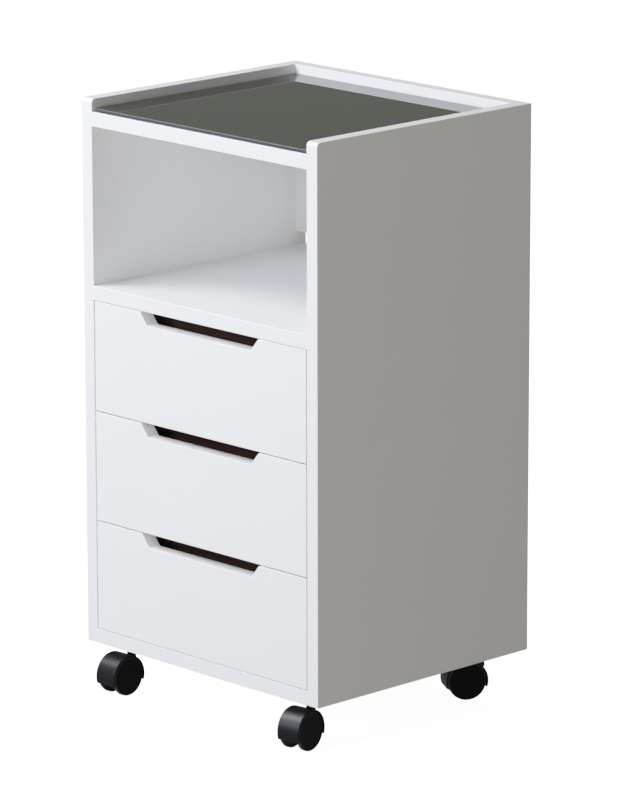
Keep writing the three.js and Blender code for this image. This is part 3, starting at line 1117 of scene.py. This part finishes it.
def floor_plane(name, height, material):
    """A floor that reaches far past the view."""
    bpy.ops.mesh.primitive_plane_add(size=FLOOR_SIZE, location=(0, 0, height))
    plane = adopt(name)
    plane.data.materials.append(material)
    return plane


def floor_material():
    """The pale floor that the camera sees, with a trace of grain."""
    finish = Finish("studio_floor", (0.9, 0.9, 0.9), 0.9, Emission_Strength=2.3)
    finish.shader.inputs["Emission Color"].default_value = (1, 1, 1, 1)
    finish.feed("Base Color", finish.mix(finish.noise(40, 4.0), (0.88, 0.88, 0.88), (0.92, 0.92, 0.92)))
    return finish.material


def bounce_material(glow):
    """The light that the floor throws up at the cabinet, unseen itself."""
    finish = Finish("floor_bounce", (0, 0, 0), 1.0, Emission_Strength=1.0)
    finish.shader.inputs["Emission Color"].default_value = (*glow, 1)
    return finish.material


def show_like_film(view):
    """Rolls bright tones off gently towards white, as a studio print does."""
    view.view_transform = "Standard"
    view.use_curve_mapping = True
    view.curve_mapping.white_level = (FILM_WHITE,) * 3
    tone = view.curve_mapping.curves[3]
    for light in (0.06, 0.15, 0.3, 0.5, 0.75):
        tone.points.new(light, FILM_WHITE * light / (1 + (FILM_WHITE - 1) * light))
    view.curve_mapping.update()


class CABINET_OT_stage(Step, Operator):
    """Set up the camera, the soft lights and the pale floor"""

    bl_idname = "cabinet.stage"
    bl_label = "Stage"

    def execute(self, context):
        stage = context.scene.cabinet_stage
        select_only()
        back = direction(stage.azimuth, stage.elevation)
        bpy.ops.object.camera_add(location=Vector(stage.aim) + back * stage.distance)
        camera = context.object
        camera.rotation_mode = "QUATERNION"
        level = (-back).to_track_quat("-Z", "Y")
        camera.rotation_quaternion = level @ Quaternion((0, 0, 1), -stage.roll)
        camera.data.lens = stage.lens
        camera.data.sensor_width = 36
        camera.data.clip_end = 200
        context.scene.camera = camera

        for name, settings in LIGHTS.items():
            soft_light(name, getattr(stage, f"{name}_power"), *settings)

        floor = floor_plane("studio_floor", 0, floor_material())
        floor.visible_diffuse = floor.visible_glossy = floor.visible_shadow = False
        bounce = floor_plane("floor_bounce", -mm(1), bounce_material(stage.bounce))
        bounce.visible_camera = False

        world = bpy.data.worlds.new("studio_surround")
        world.use_nodes = True
        world.node_tree.nodes["Background"].inputs["Color"].default_value = (*stage.surround, 1)
        world.cycles_visibility.diffuse = False
        context.scene.world = world
        show_like_film(context.scene.view_settings)
        return {"FINISHED"}


# ---------- add-on
STEPS = (
    CABINET_OT_stage,
    CABINET_OT_carcase,
    CABINET_OT_glass_pane,
    CABINET_OT_drawer_fronts,
    CABINET_OT_drawer_boxes,
    CABINET_OT_runners,
    CABINET_OT_castor_hoods,
    CABINET_OT_castor_wheels,
    CABINET_OT_castor_steel,
    CABINET_OT_screws,
)
GROUPS = {
    "cabinet_sizes": CabinetSizes,
    "cabinet_colours": CabinetColours,
    "cabinet_stage": StageSettings,
}


class CABINET_PT_build(Panel):
    """Lists the cabinet's settings and building steps"""

    bl_label = "Pedestal Cabinet"
    bl_idname = "CABINET_PT_build"
    bl_space_type = "VIEW_3D"
    bl_region_type = "UI"
    bl_category = "Cabinet"

    def draw(self, context):
        for step in STEPS:
            self.layout.operator(step.bl_idname)
        for group in GROUPS:
            settings = getattr(context.scene, group)
            box = self.layout.box()
            for name in settings.__annotations__:
                box.prop(settings, name)


def register():
    """Registers the settings, the steps and the panel."""
    for name, group in GROUPS.items():
        bpy.utils.register_class(group)
        setattr(bpy.types.Scene, name, PointerProperty(type=group))
    for cls in (*STEPS, CABINET_PT_build):
        bpy.utils.register_class(cls)


def unregister():
    """Takes everything that register added away again."""
    for cls in (CABINET_PT_build, *reversed(STEPS)):
        bpy.utils.unregister_class(cls)
    for name, group in GROUPS.items():
        delattr(bpy.types.Scene, name)
        bpy.utils.unregister_class(group)


def main():
    """Builds the cabinet and its stage."""
    register()
    for step in STEPS:
        family, name = step.bl_idname.split(".")
        getattr(getattr(bpy.ops, family), name)()


if __name__ == "__main__":
    main()
